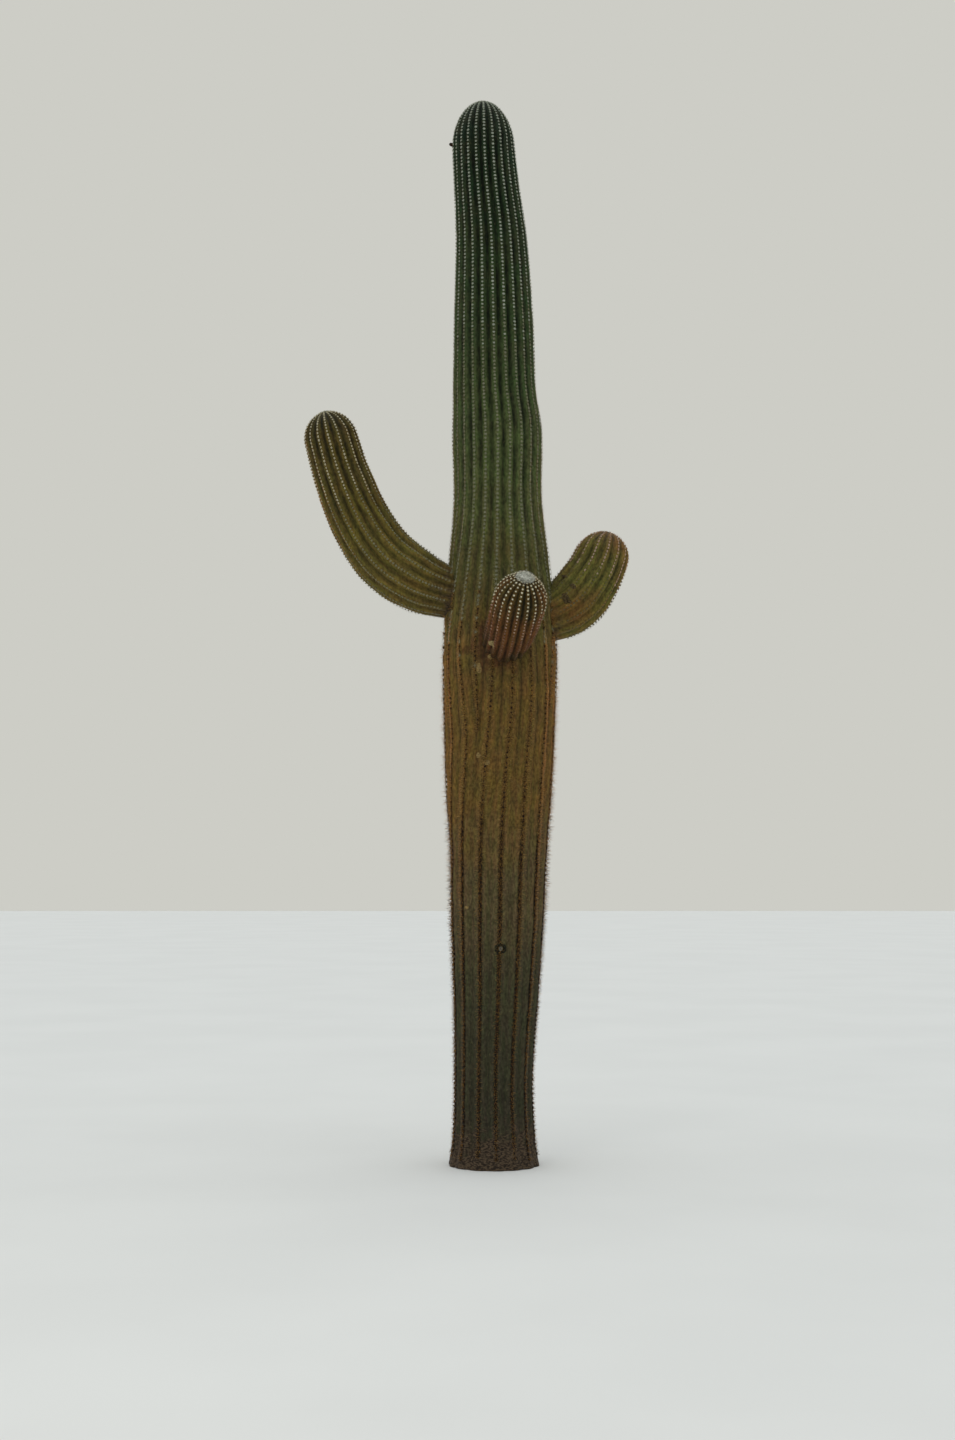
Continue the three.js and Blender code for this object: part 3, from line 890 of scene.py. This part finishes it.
def areole_pads(name, spots, width, height, rise, material, seed):
    """A low oval cushion of felt at each spot, with sizes in millimetres: six sides, a raised middle, and a
    point sunk in the skin."""
    chance = random.Random(seed)
    sides = 6
    half_width, half_height = width * MM / 2, height * MM / 2
    rise *= MM
    vertices, faces = [], []
    for spot in spots:
        size = chance.uniform(*PAD_RANGE)
        first = len(vertices)
        for i in range(sides):
            angle = math.tau * i / sides
            rim = spot["side"] * (math.cos(angle) * half_width) + spot["up"] * (math.sin(angle) * half_height)
            vertices.append(spot["place"] + rim * size)
        vertices.append(spot["place"] + spot["out"] * rise * size)
        vertices.append(spot["place"] - spot["out"] * rise)
        top, root = first + sides, first + sides + 1
        for i in range(sides):
            a, b = first + i, first + (i + 1) % sides
            faces += [(a, b, top), (b, a, root)]
    pads = joined_mesh(name, vertices, faces)
    for polygon in pads.data.polygons:
        polygon.use_smooth = True
    return finished(pads, material, "felt")


def spine_bundle(name, spots, kind, material, seed):
    """Spines of a kind at each spot, as slim three-sided spikes."""
    chance = random.Random(seed)
    count, leans, length_share, width, droop = kind
    low, high = (math.radians(angle) for angle in leans)
    width *= MM
    vertices, faces = [], []
    for spot in spots:
        turn = chance.random()
        for i in range(count):
            azimuth = math.tau * (i + turn + chance.uniform(-SPINE_SWING, SPINE_SWING)) / count
            lean = chance.uniform(low, high)
            around = spot["side"] * math.cos(azimuth) + spot["up"] * math.sin(azimuth)
            heading = spot["out"] * math.cos(lean) + around * math.sin(lean)
            heading.z -= droop
            heading.normalize()
            length = length_share * spot["spine"] * chance.uniform(*SPINE_RANGE)
            across = heading.orthogonal().normalized() * width / 2
            root = spot["place"] + around * width
            first = len(vertices)
            for third in range(3):
                vertices.append(root + Matrix.Rotation(math.tau * third / 3, 3, heading) @ across)
            vertices.append(root + heading * length)
            faces += [(first + b, first + a, first + 3) for a, b in ((1, 0), (2, 1), (0, 2))]
            faces.append((first + 2, first + 1, first))
    return finished(joined_mesh(name, vertices, faces), material, "husk")


def lay_on(piece, limb, distance, degrees):
    """Lays a piece that was modelled flat on the ground, face up and its top to the back, on a limb."""
    radius = limb.ring(distance)["radius"]
    for vertex in piece.data.vertices:
        azimuth = math.radians(degrees) + vertex.co.x / radius
        place, outward = limb.surface(distance + vertex.co.y, azimuth)
        vertex.co = place + outward * vertex.co.z


def button(name, width, height, rise, seed):
    """A low, lumpy scab, flat on the ground, with sizes in millimetres."""
    scab = ball(name, 16, 8, radius=0.5)
    bpy.ops.object.mode_set(mode="EDIT")
    bpy.ops.mesh.select_all(action="SELECT")
    bpy.ops.transform.resize(value=(width * MM, height * MM, 2 * rise * MM))
    bpy.ops.transform.vertex_random(offset=0.09 * width * MM, uniform=0.5, seed=seed)
    bpy.ops.object.mode_set(mode="OBJECT")
    add_softening(scab)
    apply_modifiers(scab)
    return scab


def wound(limb, scar):
    """A healed wound: a swollen, cracked lip of bark round a hollow, in which pale dry tissue shows."""
    distance, degrees, width, height = scar
    bpy.ops.mesh.primitive_circle_add(vertices=32, radius=0.5, fill_type="NGON")
    lip = active_piece("old_wound_lip")
    bpy.ops.object.mode_set(mode="EDIT")
    bpy.ops.mesh.select_all(action="SELECT")
    bpy.ops.transform.resize(value=(width * MM, height * MM, 1))
    bpy.ops.transform.translate(value=(0, 0, -WOUND_SUNK * MM))
    for ring_width, ring_rise in WOUND_RINGS:
        bpy.ops.mesh.inset(thickness=ring_width * MM, depth=ring_rise * MM)
    bpy.ops.mesh.select_all(action="SELECT")
    bpy.ops.mesh.subdivide(number_cuts=1)
    bpy.ops.transform.vertex_random(offset=2.5 * MM, uniform=0.6, seed=61)
    bpy.ops.object.mode_set(mode="OBJECT")
    add_softening(lip)
    apply_modifiers(lip)
    lay_on(lip, limb, distance, degrees)
    finished(lip, WOUND_BARK, "husk")
    width_share, height_share, rise = WOUND_HEART
    heart = button("old_wound_heart", width_share * width, height_share * height, rise, 62)
    lay_on(heart, limb, distance, degrees)
    finished(heart, CALLUS_GREY, "husk")


def crown(limb, node, radius, rise, lumps, material, seed):
    """The woolly growing tip: a low felt pad on the apex, uneven like matted hair."""
    apex = limb.ring(limb.length)
    turn = apex["direction"].to_track_quat("Z", "Y")
    place = {"radius": radius, "location": apex["centre"], "rotation": turn.to_euler()}
    pad = ball(f"{limb.name}_crown_felt", 28, 14, **place)
    bpy.ops.object.mode_set(mode="EDIT")
    bpy.ops.mesh.select_all(action="SELECT")
    flat = (1, 1, rise / radius)
    bpy.ops.transform.resize(value=flat, orient_type="LOCAL", center_override=apex["centre"])
    bpy.ops.transform.vertex_random(offset=lumps, uniform=0.8, seed=seed)
    bpy.ops.object.mode_set(mode="OBJECT")
    bpy.ops.object.transform_apply()
    add_softening(pad)
    apply_modifiers(pad)
    return finished(pad, material, "felt", node)


def dress_skins():
    """The skins of the limbs. Their cork is lumpy up to the distance that each gives."""
    limb_skin(STEM_LIMB, STEM_ROW_STEP, 0.2, STEM_SKIN, ["trunk"], foot=True)
    limb_skin(LEFT_LIMB, ARM_ROW_STEP, 0.22, LEFT_ARM_SKIN, ["left_arm_elbow", "left_arm_upper"])
    limb_skin(FRONT_LIMB, ARM_ROW_STEP, 0.34, FRONT_ARM_SKIN, ["front_arm"], flare=0.1)
    limb_skin(RIGHT_LIMB, ARM_ROW_STEP, 0.22, RIGHT_ARM_SKIN, ["right_arm"])


def aged(spots, steps, spread, chance):
    """Sorts spots by where they are, into one list more than there are steps."""
    ages = [[] for step in range(len(steps) + 1)]
    for spot in spots:
        where = spot["at"] + spread * chance.uniform(-1, 1)
        ages[sum(where > step for step in steps)].append(spot)
    return ages


def dress_stem():
    """Areoles and spines of the stem, from the foot to the top."""
    spots = areole_spots(STEM_LIMB, STEM_PITCHES, STEM_START, 11)
    for spot in spots:
        spot["spine"] = between(STEM_SPINES, spot["place"].z)
    ages = aged(spots, STEM_AGES, STEM_AGE_SPREAD, random.Random(12))
    for seed, (age, (name, width, height, rise, pad_felt)) in enumerate(zip(ages, STEM_COATS), 31):
        areole_pads(f"stem_{name}_areoles", age, width, height, rise, pad_felt, seed)
    old, brown, dull, pale = ages
    spine_bundle("stem_close_spines", old, CLOSE, DARK_SPINES, 41)
    spine_bundle("stem_feathery_spines", brown, FEATHERY, TAN_SPINES, 42)
    spine_bundle("stem_rising_spines", old + brown, RISING, STRAW_SPINES, 43)
    spine_bundle("stem_central_spines", old, CENTRAL, DARK_SPINES, 44)
    spine_bundle("stem_short_spines", dull + pale, SHORT, PALE_SPINES, 45)


def dress_arm(limb, pitches, coats, seed):
    """The areoles of an arm in their coats, and the short spines on them."""
    spots = areole_spots(limb, pitches, ARM_START, seed)
    for spot in spots:
        spot["spine"] = between(ARM_SPINES, spot["at"])
    ages = aged(spots, [coat[1] for coat in coats[1:]], ARM_AGE_SPREAD, random.Random(seed))
    for number, (age, (name, start, pad_felt, width, height, horn)) in enumerate(zip(ages, coats), 1):
        areole_pads(f"{limb.name}_{name}_areoles", age, width, height, ARM_PAD_RISE, pad_felt, seed + number)
        spine_bundle(f"{limb.name}_{name}_spines", age, STUBBY, horn, seed + 5 + number)


def dress_tips():
    """The bristles and the felt of the growing tips."""
    bristled = []
    for tip in BRISTLED_TIPS:
        bristled += crown_spots(*tip, BRISTLE_LENGTH)
    spine_bundle("crown_bristles", bristled, BRISTLY, PALE_SPINES, 46)
    spine_bundle("front_arm_tuft", crown_spots(*TUFTED_TIP, TUFT_LENGTH), TUFTED, WHITE_SPINES, 47)
    for seed, tip in enumerate(CROWNS, 51):
        crown(*tip, seed)


def dress_scars():
    """The old wound low on the stem, pale calluses at pecked or broken places, a yellowish one at the base
    of the front arm, and brown ones on the right arm."""
    wound(STEM_LIMB, OLD_WOUND)
    marks = [(STEM_LIMB, scar, CALLUS_PALE) for scar in STEM_CALLUSES]
    marks.append((FRONT_LIMB, FRONT_CALLUS, CALLUS_YELLOW))
    marks += [(RIGHT_LIMB, scar, CALLUS_BROWN) for scar in RIGHT_SCARS]
    for number, (limb, (distance, degrees, width, height), material) in enumerate(marks, 1):
        mark = button(f"callus_{number}", width, height, CALLUS_RISE, 70 + number)
        lay_on(mark, limb, distance, degrees)
        finished(mark, material, "husk")


def build_floor():
    """Smooth matt board, off-white, with a faint cloudiness in clouds 1.5 m across."""
    bpy.ops.mesh.primitive_plane_add(size=FLOOR_SIZE, location=FLOOR_CENTRE)
    floor = active_piece("studio_floor")
    board = grained("matt_board", "#dededa", "#e1e1dd", 1.5, 3.0, (0.3, 0.7), Roughness=0.9)
    floor.data.materials.append(board)


def area_light(name, place, target, size, power, tint, spread=180):
    """A soft light of a given size that faces a target, its beam narrowed to spread degrees."""
    facing = (Vector(target) - Vector(place)).to_track_quat("-Z", "Y")
    bpy.ops.object.light_add(type="AREA", location=place, rotation=facing.to_euler())
    light = bpy.context.object
    light.name = name
    light.data.size = size
    light.data.energy = power
    light.data.color = colour(tint)[:3]
    light.data.spread = math.radians(spread)
    return light


def rim_lamps(plant):
    """Two warm lamps behind the plant, for the evening light on its edges. They fall on the plant alone,
    and the plant alone casts their shadows, so that the floor keeps its plain tone."""
    lit = bpy.data.collections.new("lit_by_rim_lamps")
    for piece in plant:
        lit.objects.link(piece)
    for name, degrees in (("rim_left", -RIM_AZIMUTH), ("rim_right", RIM_AZIMUTH)):
        azimuth = math.radians(degrees)
        place = (RIM_DISTANCE * math.sin(azimuth), -RIM_DISTANCE * math.cos(azimuth), RIM_HEIGHT)
        lamp = area_light(name, place, (0, 0, RIM_HEIGHT), RIM_SIZE, RIM_POWER, RIM_TINT, RIM_SPREAD)
        lamp.light_linking.receiver_collection = lit
        lamp.light_linking.blocker_collection = lit


def light_the_scene(plant):
    """Pale surroundings that are bright behind the plant and dim before it, a soft key and a warm rim."""
    world = bpy.data.worlds.new("pale_surroundings")
    bpy.context.scene.world = world
    world.use_nodes = True
    tree = world.node_tree
    direction = add_node(tree, "ShaderNodeTexCoord").outputs["Generated"]
    parts = add_node(tree, "ShaderNodeSeparateXYZ", {"Vector": direction})
    strengths = []
    for axis, levels in (("Y", (0.5, 0.86, 0.0, 1.0)), ("Z", (0.5, 0.95, 1.0, SKY_GAIN))):
        strength = add_node(
            tree,
            "ShaderNodeMapRange",
            {0: parts.outputs[axis], **dict(enumerate(levels, 1))},
            interpolation_type="SMOOTHSTEP",
        )
        strengths.append(strength.outputs["Result"])
    behind, overhead = strengths
    wall_shades = {6: colour(WALL_BEFORE), 7: colour(WALL_BEHIND)}
    walls = add_node(tree, "ShaderNodeMix", {0: behind, **wall_shades}, data_type="RGBA").outputs[2]
    sky = add_node(tree, "ShaderNodeVectorMath", {0: walls, "Scale": overhead}, operation="SCALE")
    tree.links.new(sky.outputs[0], tree.nodes["Background"].inputs["Color"])
    area_light("soft_key", KEY_PLACE, KEY_TARGET, KEY_SIZE, KEY_POWER, KEY_TINT)
    rim_lamps(plant)
    bpy.context.scene.view_settings.view_transform = "Standard"


def place_camera():
    bpy.ops.object.camera_add(location=CAMERA_PLACE, rotation=(math.radians(90 + CAMERA_RISE), 0, 0))
    camera = bpy.context.object
    camera.data.lens = CAMERA_LENS
    bpy.context.scene.camera = camera


bpy.ops.object.select_all(action="DESELECT")
dress_skins()
dress_stem()
dress_arm(LEFT_LIMB, LEFT_PITCHES, LEFT_COATS, 101)
dress_arm(FRONT_LIMB, FRONT_PITCHES, FRONT_COATS, 111)
dress_arm(RIGHT_LIMB, RIGHT_PITCHES, RIGHT_COATS, 121)
dress_tips()
dress_scars()
finished(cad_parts["dried_bud"], DRIED_PETAL, "husk")
plant = [piece for piece in bpy.context.scene.objects if piece.type == "MESH"]
build_floor()
light_the_scene(plant)
place_camera()
